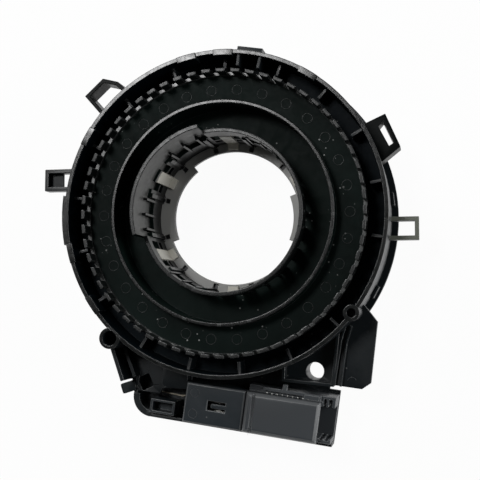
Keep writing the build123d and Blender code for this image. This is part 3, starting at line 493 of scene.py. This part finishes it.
class Repeat:
    """A Geometry Nodes tree of one repeated feature, which ends in Realize Instances and Set Material."""

    def __init__(self, name: str, sizes: dict[str, float], finish: Finish) -> None:
        """Starts the tree.

        Args:
            name: the name of the tree and of the piece.
            sizes: its named inputs and their values.
            finish: what the piece is dressed in.
        """
        self.name = name
        self.sizes = sizes
        self.finish = finish
        self.group = bpy.data.node_groups.new(name, "GeometryNodeTree")
        self.net = Wiring(self.group)
        for label in sizes:
            self.group.interface.new_socket(label, in_out="INPUT", socket_type="NodeSocketFloat")
        self.group.interface.new_socket("Geometry", in_out="OUTPUT", socket_type="NodeSocketGeometry")
        self.inputs = self.net.node("NodeGroupInput")

    def size(self, label: str) -> bpy.types.NodeSocket:
        """The socket of a named input."""
        return self.inputs.outputs[label]

    def piece(self, geometry: bpy.types.NodeSocket, rides: Rides, slot: str) -> None:
        """Ends the tree, evaluates it and keeps the result as a plain piece on its body.

        Args:
            geometry: what the tree makes.
            rides: the body that it moves with.
            slot: not used.
        """
        real = self.net.node("GeometryNodeRealizeInstances", Geometry=geometry)
        dressed = self.net.node("GeometryNodeSetMaterial", Geometry=real.outputs[0],
                                Material=self.finish.material())
        self.net.node("NodeGroupOutput", i0=dressed.outputs[0])
        carrier = stand(self.name + "_carrier", bpy.data.meshes.new(self.name + "_carrier"))
        modifier = carrier.modifiers.new("tree", "NODES")
        modifier.node_group = self.group
        for item in self.group.interface.items_tree:
            if item.in_out == "INPUT":
                modifier[item.identifier] = self.sizes[item.name]
        settle(stand(self.name, baked(carrier)), rides)


class Facing(Enum):
    """Which way the faces of a zone look."""

    ANY = "any"
    UP = "up"
    EDGE = "edge"
    SIDE = "side"
    INWARD = "inward"
    OUTWARD = "outward"

    def suits(self, middle: Vector, normal: Vector) -> bool:
        """Whether a face looks this way.

        Args:
            middle: the face's centre.
            normal: its unit normal.

        Returns:
            True if it does.
        """
        outward = Vector((middle.x, middle.y, 0.0)).normalized().dot(normal)
        return {Facing.ANY: True,
                Facing.UP: normal.z > UP_LEAN,
                Facing.EDGE: EDGE_LEAN[0] < normal.z < EDGE_LEAN[1],
                Facing.SIDE: abs(normal.z) <= SIDE_LEAN,
                Facing.INWARD: outward < -ACROSS_LEAN,
                Facing.OUTWARD: outward > ACROSS_LEAN}[self]


@dataclass(frozen=True)
class Zone:
    """A zone of a moulding with its own roughness and gloss, and a tone painted lighter or darker for light
    and shade.
    """

    finish: Moulding
    facing: Facing
    ring: Band = (0.0, 1.0)
    level: Band = (-1.0, 1.0)
    angle: Band = (0.0, 360.0)

    def holds(self, middle: Vector, normal: Vector) -> bool:
        """Whether a face belongs to the zone.

        Args:
            middle: the face's centre.
            normal: its unit normal.

        Returns:
            True if its place and direction are both in the zone.
        """
        angle = degrees(atan2(middle.y, middle.x)) % 360.0
        return (self.ring[0] <= middle.xy.length <= self.ring[1]
                and self.level[0] <= middle.z <= self.level[1]
                and self.angle[0] <= angle <= self.angle[1]
                and self.facing.suits(middle, normal))


@dataclass
class Moulded:
    """A moulding with rounded edges and its own finish in each zone, in the place of its plain solid; the
    zones' finishes carry painted light and shade.

    Edges above crown_level are rounded by crown_radius, and the others by radius.
    """

    node: str
    rides: Rides
    slot: str
    finish: Moulding
    zones: tuple[Zone, ...] = ()
    radius: float = 0.2 * MM
    crown_level: float = 1.0
    crown_radius: float = 0.0
    segments: int = 2

    def build(self, nodes: dict[str, bpy.types.Object]) -> None:
        """Rounds the solid's outer edges and dresses its zones.

        Args:
            nodes: the solids' objects by name.
        """
        carrier = stand(self.node + "_carrier", self.merged(nodes[self.node].data))
        edges = carrier.modifiers.new("edges", "BEVEL")
        edges.limit_method = "WEIGHT"
        edges.width = max(self.radius, self.crown_radius)
        edges.segments = self.segments
        edges.use_clamp_overlap = False
        solid = baked(carrier)
        solid.shade_smooth()
        solid.set_sharp_from_angle(angle=MOULDED_SHARP_FROM)
        self.dress(solid)
        piece = stand(self.node + "_moulded", solid)
        settle(piece, self.rides)
        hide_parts(self.node)

    def merged(self, source: bpy.types.Mesh) -> bpy.types.Mesh:
        """Copies the solid's loose triangles as one closed mesh.

        Args:
            source: the solid's mesh.

        Returns:
            The closed mesh, with its convex edges marked for rounding.
        """
        solid = bmesh.new()
        solid.from_mesh(source)
        bmesh.ops.remove_doubles(solid, verts=solid.verts, dist=MERGE_DISTANCE)
        weight = solid.edges.layers.float.new("bevel_weight_edge")
        plain = self.radius / max(self.radius, self.crown_radius)
        for edge in solid.edges:
            if len(edge.link_faces) == 2 and edge.is_convex and edge.calc_face_angle() > ROUNDED_FROM:
                crowned = min(end.co.z for end in edge.verts) > self.crown_level - SUNK
                edge[weight] = 1.0 if crowned else plain
        closed = bpy.data.meshes.new(self.node + "_closed")
        solid.to_mesh(closed)
        solid.free()
        if "custom_normal" in closed.attributes:
            closed.attributes.remove(closed.attributes["custom_normal"])
        return closed

    def dress(self, solid: bpy.types.Mesh) -> None:
        """Gives each face the finish of the first zone that holds it, with its painted light or shade.

        Args:
            solid: the rounded mesh.
        """
        solid.materials.clear()
        for finish in (self.finish, *(zone.finish for zone in self.zones)):
            solid.materials.append(finish.material())
        for face in solid.polygons:
            face.material_index = next((index + 1 for index, zone in enumerate(self.zones)
                                        if zone.holds(face.center, face.normal)), 0)


class Shaper:
    """Gathers the solids of one small raised piece."""

    def __init__(self) -> None:
        """Starts with nothing."""
        self.solid = bmesh.new()

    def bar(self, route: list[Vector], radius: float, closed: bool, sides: int = 6) -> None:
        """Sweeps a round section along a route.

        Args:
            route: points along the middle of the bar.
            radius: the section's radius.
            closed: whether the last point joins the first.
            sides: how many flats the section has.
        """
        count = len(route)
        rings = []
        for index, place in enumerate(route):
            ahead = route[(index + 1) % count] if closed or index < count - 1 else place
            behind = route[index - 1] if closed or index > 0 else place
            along = (ahead - behind).normalized()
            side = along.cross(Vector((0, 0, 1))).normalized()
            over = side.cross(along)
            turns = [2 * pi * flat / sides for flat in range(sides)]
            rings.append([self.solid.verts.new(place + radius * (cos(turn) * side + sin(turn) * over))
                          for turn in turns])
        for first, second in zip(rings, rings[1:] + rings[:1] if closed else rings[1:]):
            self.join(first, second)
        if not closed:
            self.solid.faces.new(rings[0])
            self.solid.faces.new(rings[-1])

    def slab(self, outline: list[Vector], height: float, rounding: float) -> None:
        """Raises a flat outline into a slab with rounded edges.

        Args:
            outline: its corners at the foot, in order.
            height: how far it rises.
            rounding: the radius of its edges.
        """
        foot = [self.solid.verts.new(corner) for corner in outline]
        top = [self.solid.verts.new(corner + Vector((0, 0, height))) for corner in outline]
        made = [self.solid.faces.new(foot), self.solid.faces.new(top), *self.join(foot, top)]
        edges = list({edge for face in made for edge in face.edges})
        bmesh.ops.bevel(self.solid, geom=edges, offset=rounding, segments=2, affect="EDGES",
                        clamp_overlap=True)

    def join(self, first: list[bmesh.types.BMVert],
             second: list[bmesh.types.BMVert]) -> list[bmesh.types.BMFace]:
        """Lays a closed band of faces between two loops of points.

        Args:
            first: one loop.
            second: the other, point for point.

        Returns:
            The new faces.
        """
        count = len(first)
        return [self.solid.faces.new((first[k], first[(k + 1) % count], second[(k + 1) % count], second[k]))
                for k in range(count)]

    def piece(self, name: str, finish: Moulding, rides: Rides, slot: str) -> None:
        """Turns what was gathered into a dressed piece on its body.

        Args:
            name: the piece's name.
            finish: what it is dressed in.
            rides: the body that it moves with.
            slot: not used.
        """
        bmesh.ops.recalc_face_normals(self.solid, faces=self.solid.faces)
        held = bpy.data.meshes.new(name)
        self.solid.to_mesh(held)
        self.solid.free()
        held.shade_smooth()
        held.set_sharp_from_angle(angle=RAISED_SHARP_FROM)
        held.materials.append(finish.material())
        settle(stand(name, held), rides)


def in_bay(across: float, along: float, level: float) -> Vector:
    """Turns a place in the connector bay's own frame into one in the part's frame.

    Args:
        across: how far it is to the right of the bay's origin.
        along: how far it is above it, towards the axis.
        level: its height.

    Returns:
        The place in the part's frame.
    """
    out = along - BAY_REACH
    straight, askew = cos(BAY_TURN), sin(BAY_TURN)
    return Vector((straight * across - askew * out, askew * across + straight * out, level))


def spoke(angle: float) -> Vector:
    """The level unit vector at an angle in degrees."""
    return Vector((cos(radians(angle)), sin(radians(angle)), 0))


def arc(middle: Vector, radius: float, start: float, span: float, steps: int) -> list[Vector]:
    """Points along a level arc, or round a whole circle, whose last point isn't its first again.

    Args:
        middle: the arc's centre.
        radius: its radius.
        start: the angle of its first point, in degrees.
        span: how far it turns, in degrees.
        steps: how many points it has.

    Returns:
        The points, in order.
    """
    last = steps if span >= 360.0 else steps - 1
    return [middle + radius * spoke(start + span * k / last) for k in range(steps)]


# ------------------------------------------------------------------ sub-assemblies
@dataclass
class Housing:
    """The ring housing, with its loops and trough, and the cover on its wheel side."""

    rim_ring: Band = band(58.0, 70.0)
    rim_top: Band = band(41.4, 43.1)
    step_top: Band = band(35.0, 36.9)
    loop_ring: Band = band(62.5, 90.0)
    loop_level: Band = band(17.0, 27.5)
    upper_left_loop: Band = (124.0, 148.0)
    upper_right_loop: Band = (14.0, 38.0)
    left_loop: Band = (155.0, 175.0)
    left_loop_top: Band = band(28.0, 29.5)
    right_loop: Band = (345.0, 360.0)
    right_loop_ring: Band = band(63.5, 90.0)
    right_loop_top: Band = band(18.0, 24.5)
    edge_level: Band = band(12.0, 40.0)
    well_wall_ring: Band = band(30.0, 61.5)
    well_wall: Band = band(18.0, 41.4)
    well_floor_ring: Band = band(30.0, 60.6)
    well_floor: Band = band(18.0, 30.0)

    def build(self, nodes: dict[str, bpy.types.Object]) -> None:
        """Makes the housing and the cover.

        Args:
            nodes: the solids' objects by name.
        """
        # Painted light on the step tops, the loop tops and the edge facets; painted shade on the rim tops,
        # the upper loops and the well.
        zones = (Zone(HOUSING_STEP_LIT, Facing.UP, self.rim_ring, self.step_top),
                 Zone(HOUSING_RIM_SHADE, Facing.UP, self.rim_ring, self.rim_top),
                 Zone(HOUSING_PALE_LIT, Facing.UP, self.right_loop_ring, self.right_loop_top, self.right_loop),
                 Zone(HOUSING_STEP_LIT, Facing.UP, self.loop_ring, self.left_loop_top, self.left_loop),
                 Zone(HOUSING_LOOP_SHADE, Facing.ANY, self.loop_ring, self.loop_level, self.upper_left_loop),
                 Zone(HOUSING_LOOP_SHADE, Facing.ANY, self.loop_ring, self.loop_level, self.upper_right_loop),
                 Zone(HOUSING_EDGE_HIGHLIGHT, Facing.EDGE, level=self.edge_level),
                 Zone(HOUSING_WELL_SHADE, Facing.INWARD, self.well_wall_ring, self.well_wall),
                 Zone(HOUSING_WELL_SHADE, Facing.UP, self.well_floor_ring, self.well_floor))
        Moulded("housing", Rides.STATOR, "housing_plastic", HOUSING, zones).build(nodes)
        Moulded("front_cover", Rides.STATOR, "housing_plastic", HOUSING).build(nodes)


@dataclass
class ConnectorBay:
    """The connector bay: lid, socket and clamp. Points are across and along the bay's own frame."""

    lid_top: float = 30.6 * MM
    socket_top: float = 32.0 * MM
    crown_radius: float = 0.6 * MM
    crown_segments: int = 3
    socket_radius: float = 0.25 * MM
    clamp_radius: float = 0.25 * MM

    def build(self, nodes: dict[str, bpy.types.Object]) -> None:
        """Makes the bay's three mouldings.

        Args:
            nodes: the solids' objects by name.
        """
        # Painted highlight: the leaning edge facets of the lid, socket and clamp get a lighter copy of their
        # plastic.
        lid_highlights = (Zone(LID_EDGE_HIGHLIGHT, Facing.EDGE),)
        socket_highlights = (Zone(SOCKET_EDGE_HIGHLIGHT, Facing.EDGE),)
        Moulded("connector_lid", Rides.STATOR, "lid_plastic", LID, lid_highlights, crown_level=self.lid_top,
                crown_radius=self.crown_radius, segments=self.crown_segments).build(nodes)
        Moulded("connector_socket", Rides.STATOR, "socket_plastic", SOCKET, socket_highlights, self.socket_radius,
                self.socket_top, self.crown_radius, self.crown_segments).build(nodes)
        Moulded("cable_clamp", Rides.STATOR, "lid_plastic", LID, lid_highlights, self.clamp_radius).build(nodes)


@dataclass
class CodeDisc:
    """The toothed code disc with its rib ring and windowed sleeve."""

    tooth_ring: Band = band(52.0, 55.0)
    tooth_floor: Band = band(37.6, 39.0)
    tooth_tip: Band = band(43.0, 45.0)
    rib_ring: Band = band(40.5, 43.0)
    rib_top: Band = band(43.0, 44.1)
    sleeve_ring: Band = band(29.0, 34.0)
    sleeve_top: Band = band(41.8, 42.6)
    collar_top: Band = band(45.5, 54.0)
    land_ring: Band = band(26.0, 30.3)
    land_wall: Band = band(18.6, 54.0)
    bore_ring: Band = band(26.0, 32.6)
    sleeve_wall: Band = band(30.0, 54.0)
    outside_ring: Band = band(29.5, 34.5)
    recess_ring: Band = band(26.0, 34.5)
    recess_wall: Band = band(18.6, 42.3)
    recess_floor_ring: Band = band(26.0, 31.0)
    recess_floor: Band = band(18.6, 28.0)

    def build(self, nodes: dict[str, bpy.types.Object]) -> None:
        """Makes the code disc.

        Args:
            nodes: the solids' objects by name.
        """
        # Painted light on the tooth floors, the tooth tips' edge facets and the bore's inner walls; painted
        # shade on the teeth, the rib top, the sleeve and collar, and the recesses.
        zones = (Zone(DISC_FLOOR_LIT, Facing.UP, self.tooth_ring, self.tooth_floor),
                 Zone(DISC_EDGE_HIGHLIGHT, Facing.EDGE, self.tooth_ring, self.tooth_tip),
                 Zone(DISC_TOOTH_SHADE, Facing.ANY, self.tooth_ring),
                 Zone(DISC_RIB_SHADE, Facing.UP, self.rib_ring, self.rib_top),
                 Zone(DISC_SLEEVE_SHADE, Facing.UP, self.sleeve_ring, self.sleeve_top),
                 Zone(DISC_SLEEVE_SHADE, Facing.UP, self.sleeve_ring, self.collar_top),
                 Zone(DISC_BORE_LIT, Facing.INWARD, self.land_ring, self.land_wall),
                 Zone(DISC_BORE_LIT, Facing.INWARD, self.bore_ring, self.sleeve_wall),
                 Zone(DISC_SLEEVE_SHADE, Facing.OUTWARD, self.outside_ring, self.sleeve_wall),
                 Zone(DISC_RECESS_SHADE, Facing.SIDE, self.recess_ring, self.recess_wall),
                 Zone(DISC_RECESS_SHADE, Facing.UP, self.recess_floor_ring, self.recess_floor))
        Moulded("code_disc", Rides.ROTOR, "disc_plastic", DISC, zones).build(nodes)


@dataclass
class Bore:
    """What shows in the bore: the hub's two lands and the slide ring."""

    land_ring: Band = band(20.0, 31.0)
    land_top: Band = band(18.3, 19.0)
    slide_radius: float = 0.12 * MM

    def build(self, nodes: dict[str, bpy.types.Object]) -> None:
        """Makes the hub and the slide ring.

        Args:
            nodes: the solids' objects by name.
        """
        # Painted highlight: the hub's lands get a much lighter copy of the hub plastic.
        lands = (Zone(HUB_LAND_LIT, Facing.UP, self.land_ring, self.land_top),)
        Moulded("hub", Rides.ROTOR, "hub_plastic", HUB, lands).build(nodes)
        Moulded("slide_ring", Rides.ROTOR, "slide_plastic", SLIDE, radius=self.slide_radius).build(nodes)


@dataclass
class EjectorMarks:
    """Faint round witness marks that the ejector pins leave on the code disc, lighter than the disc as a
    painted highlight.
    """

    pitch_circle: float = 47.6 * MM
    level: float = 37.0 * MM
    count: int = 30
    mark_radius: float = 1.9 * MM
    mark_steps: int = 24
    bead: float = 0.11 * MM
    bead_sides: int = 6

    def build(self) -> None:
        """Lays the marks round the disc."""
        tree = Repeat("ejector_marks", {"pitch_circle": self.pitch_circle, "level": self.level,
                                        "mark_radius": self.mark_radius, "bead": self.bead}, DISC_MARK_HIGHLIGHT)
        net = tree.net
        lift = net.node("ShaderNodeCombineXYZ", Z=tree.size("level")).outputs[0]
        circle = net.node("GeometryNodeMeshCircle", Vertices=self.count, Radius=tree.size("pitch_circle"))
        raised = net.node("GeometryNodeTransform", Geometry=circle.outputs[0], Translation=lift)
        loop = net.node("GeometryNodeCurvePrimitiveCircle", Resolution=self.mark_steps,
                        Radius=tree.size("mark_radius"))
        section = net.node("GeometryNodeCurvePrimitiveCircle", Resolution=self.bead_sides,
                           Radius=tree.size("bead"))
        rim = net.node("GeometryNodeCurveToMesh", Curve=loop.outputs[0], i1=section.outputs[0])
        laid = net.node("GeometryNodeInstanceOnPoints", Points=raised.outputs[0], Instance=rim.outputs[0])
        tree.piece(laid.outputs[0], Rides.ROTOR, "disc_plastic")


@dataclass
class GateWitnesses:
    """The small pads that the gates leave on top of the rib ring, lighter than the ring as a painted
    highlight.
    """

    rib_radius: float = 41.9 * MM
    rib_top: float = 43.9 * MM
    angles: tuple[float, ...] = (38.0, 215.0, 251.0, 269.5, 285.0, 324.0, 358.0)
    length: float = 1.5 * MM
    width: float = 0.8 * MM
    rise: float = 0.12 * MM
    rounding: float = 0.05 * MM

    def build(self) -> None:
        """Makes the pads."""
        gates = Shaper()
        for angle in self.angles:
            out = spoke(angle)
            side = Vector((-out.y, out.x, 0))
            middle = out * self.rib_radius + Vector((0, 0, self.rib_top - SUNK))
            corners = [middle + out * self.width * a / 2 + side * self.length * b / 2
                       for a, b in ((-1, -1), (1, -1), (1, 1), (-1, 1))]
            gates.slab(corners, self.rise + SUNK, self.rounding)
        gates.piece("gate_witnesses", DISC_MARK_HIGHLIGHT, Rides.ROTOR, "disc_plastic")


@dataclass
class BayMarks:
    """The small raised features of the connector bay. Points are across and along the bay's own frame."""

    lid_top: float = 30.6 * MM
    witnesses: tuple[Point, ...] = ((-3.1 * MM, -7.1 * MM), (-2.9 * MM, -15.2 * MM))
    witness_radius: float = 1.7 * MM
    witness_steps: int = 28
    bead: float = 0.10 * MM
    tip_count: int = 9
    tip_radius: float = 0.34 * MM
    tip_first: Point = (24.0 * MM, -3.15 * MM)
    tip_last: Point = (40.0 * MM, -3.15 * MM)
    tip_level: float = 27.6 * MM
    latch_across: Band = (38.4 * MM, 44.2 * MM)
    latch_along: Band = (-3.2 * MM, -1.5 * MM)
    latch_height: float = 0.35 * MM
    latch_rounding: float = 0.12 * MM
    crescent_middle: Place = (46.8 * MM, -63.4 * MM, 24.0 * MM)
    crescent_radius: float = 1.6 * MM
    crescent_start: float = 20.0
    crescent_span: float = 150.0
    crescent_steps: int = 16

    def build(self) -> None:
        """Makes the lid's round marks, the latch plate, the flag's crescent and the contact tips; the marks
        and the crescent are lighter than what carries them, a painted highlight.
        """
        marks = Shaper()
        for across, along in self.witnesses:
            marks.bar(arc(in_bay(across, along, self.lid_top), self.witness_radius, 0.0, 360.0,
                          self.witness_steps), self.bead, True)
        marks.piece("lid_witnesses", LID_MARK_HIGHLIGHT, Rides.STATOR, "lid_plastic")
        left, right = self.latch_across
        near, far = self.latch_along
        plate = Shaper()
        plate.slab([in_bay(across, along, self.tip_level - SUNK)
                    for across, along in ((left, near), (right, near), (right, far), (left, far))],
                   self.latch_height, self.latch_rounding)
        plate.piece("latch_plate", SOCKET, Rides.STATOR, "socket_plastic")
        crescent = Shaper()
        crescent.bar(arc(Vector(self.crescent_middle), self.crescent_radius, self.crescent_start,
                         self.crescent_span, self.crescent_steps), self.bead, False)
        crescent.piece("flag_witness", LID_MARK_HIGHLIGHT, Rides.STATOR, "housing_plastic")
        self.lay_tips()

    def lay_tips(self) -> None:
        """Lays the row of contact tips along the socket's shoulder."""
        tree = Repeat("contact_tips", {"tip_radius": self.tip_radius}, TIP)
        line = tree.net.node("GeometryNodeMeshLine", {"mode": "END_POINTS"}, Count=self.tip_count,
                             Start_Location=in_bay(*self.tip_first, self.tip_level),
                             Offset=in_bay(*self.tip_last, self.tip_level))
        ball = tree.net.node("GeometryNodeMeshIcoSphere", Radius=tree.size("tip_radius"), Subdivisions=2)
        laid = tree.net.node("GeometryNodeInstanceOnPoints", Points=line.outputs[0], Instance=ball.outputs[0])
        tree.piece(laid.outputs[0], Rides.STATOR, "tin_plate")


# ------------------------------------------------------------------ studio
@dataclass(frozen=True)
class Lamp:
    """A square softbox that faces the part: its place, the side of its square and its power in watts."""

    name: str
    place: Place
    size: float
    power: float

    def hang(self) -> None:
        """Hangs the lamp."""
        light = bpy.data.lights.new(self.name, "AREA")
        light.size = self.size
        light.energy = self.power
        lamp = stand(self.name, light)
        lamp.location = self.place
        lamp.rotation_euler = (-Vector(self.place)).to_track_quat("-Z", "Y").to_euler()


@dataclass
class Studio:
    """Camera, pale floor, soft lamps and plain world."""

    sensor: float = 36.0
    lens: float = 73.55
    nearest: float = 10 * MM
    distance: float = 400 * MM
    turn: float = radians(11.05)
    tip: float = radians(3.77)
    shift: Point = (0.5 * MM, -8.08 * MM)
    base_level: float = 8.0 * MM
    floor_size: float = 6.0
    floor_gap: float = 0.2 * MM
    floor_tone: Colour = (0.92, 0.92, 0.92)
    floor_glow: float = 0.96
    even_light: float = 0.06
    lamps: tuple[Lamp, ...] = (Lamp("high_lamp", (-0.26, 0.28, 1.00), size=0.24, power=3.4),
                               Lamp("key_lamp", (-0.56, 0.80, 0.42), size=0.40, power=6.0),
                               Lamp("fill_lamp", (1.00, 0.10, 0.50), size=0.60, power=5.5))

    def build(self) -> None:
        """Makes the camera, floor, lamps and world."""
        self.place_camera()
        self.lay_floor()
        for lamp in self.lamps:
            lamp.hang()
        self.paint_world()
        LOG.info("made the studio")

    def place_camera(self) -> None:
        """Stands the camera over the column side, a little to one side and tipped."""
        right = Vector((cos(self.turn), 0.0, -sin(self.turn)))
        up = Vector((sin(self.tip) * sin(self.turn), cos(self.tip), cos(self.turn) * sin(self.tip)))
        back = right.cross(up)
        base = Vector((0, 0, self.base_level))
        place = right * self.shift[0] + up * self.shift[1] + back * self.distance + base
        lens = bpy.data.cameras.new("camera")
        lens.sensor_width = self.sensor
        lens.lens = self.lens
        lens.clip_start = self.nearest
        camera = stand("camera", lens)
        camera.matrix_world = Matrix((
            (right.x, up.x, back.x, place.x),
            (right.y, up.y, back.y, place.y),
            (right.z, up.z, back.z, place.z),
            (0, 0, 0, 1)))
        bpy.context.scene.camera = camera

    def lay_floor(self) -> None:
        """Lays the pale floor under the part; it shows white and keeps a faint shadow."""
        half = self.floor_size / 2
        sheet = bpy.data.meshes.new("floor")
        sheet.from_pydata([(-half, -half, 0), (half, -half, 0), (half, half, 0), (-half, half, 0)], [],
                          [(0, 1, 2, 3)])
        low_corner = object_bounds()[0]
        floor = stand("floor", sheet)
        floor.location.z = low_corner[2] - self.floor_gap
        paint = bpy.data.materials.new("floor_paint")
        paint.use_nodes = True
        net = Wiring(paint.node_tree)
        rays = net.node("ShaderNodeLightPath")
        seen = net.maths("MAXIMUM", rays.outputs["Is Camera Ray"], rays.outputs["Is Glossy Ray"])
        seen = net.maths("MAXIMUM", seen, rays.outputs["Is Transmission Ray"])
        matt = net.node("ShaderNodeBsdfDiffuse", Color=(*self.floor_tone, 1.0))
        glow = net.node("ShaderNodeEmission", Color=WHITE, Strength=1.0)
        both = net.node("ShaderNodeMixShader", i0=net.maths("MULTIPLY", seen, self.floor_glow),
                        i1=matt.outputs[0], i2=glow.outputs[0])
        net.node("ShaderNodeOutputMaterial", Surface=both.outputs[0])
        sheet.materials.append(paint)
        floor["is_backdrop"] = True

    def paint_world(self) -> None:
        """Lights the scene evenly and shows white to the camera."""
        world = bpy.data.worlds.new("studio")
        world.use_nodes = True
        bpy.context.scene.world = world
        net = Wiring(world.node_tree)
        rays = net.node("ShaderNodeLightPath")
        dim = net.node("ShaderNodeBackground", Color=WHITE, Strength=self.even_light)
        white = net.node("ShaderNodeBackground", Color=WHITE, Strength=1.0)
        both = net.node("ShaderNodeMixShader", i0=rays.outputs["Is Camera Ray"], i1=dim.outputs[0],
                        i2=white.outputs[0])
        net.node("ShaderNodeOutputWorld", Surface=both.outputs[0])


def main() -> None:
    """Builds the part's looks and the studio, in order."""
    logging.basicConfig(level=logging.INFO, format="%(name)s: %(message)s")
    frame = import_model()
    bpy.context.scene.view_settings.view_transform = "Standard"
    dress_nodes(frame["nodes"])
    for moulded in (Housing(), ConnectorBay(), CodeDisc(), Bore()):
        moulded.build(frame["nodes"])
    for raised in (EjectorMarks(), GateWitnesses(), BayMarks()):
        raised.build()
    Studio().build()


if __name__ == "__main__":
    main()
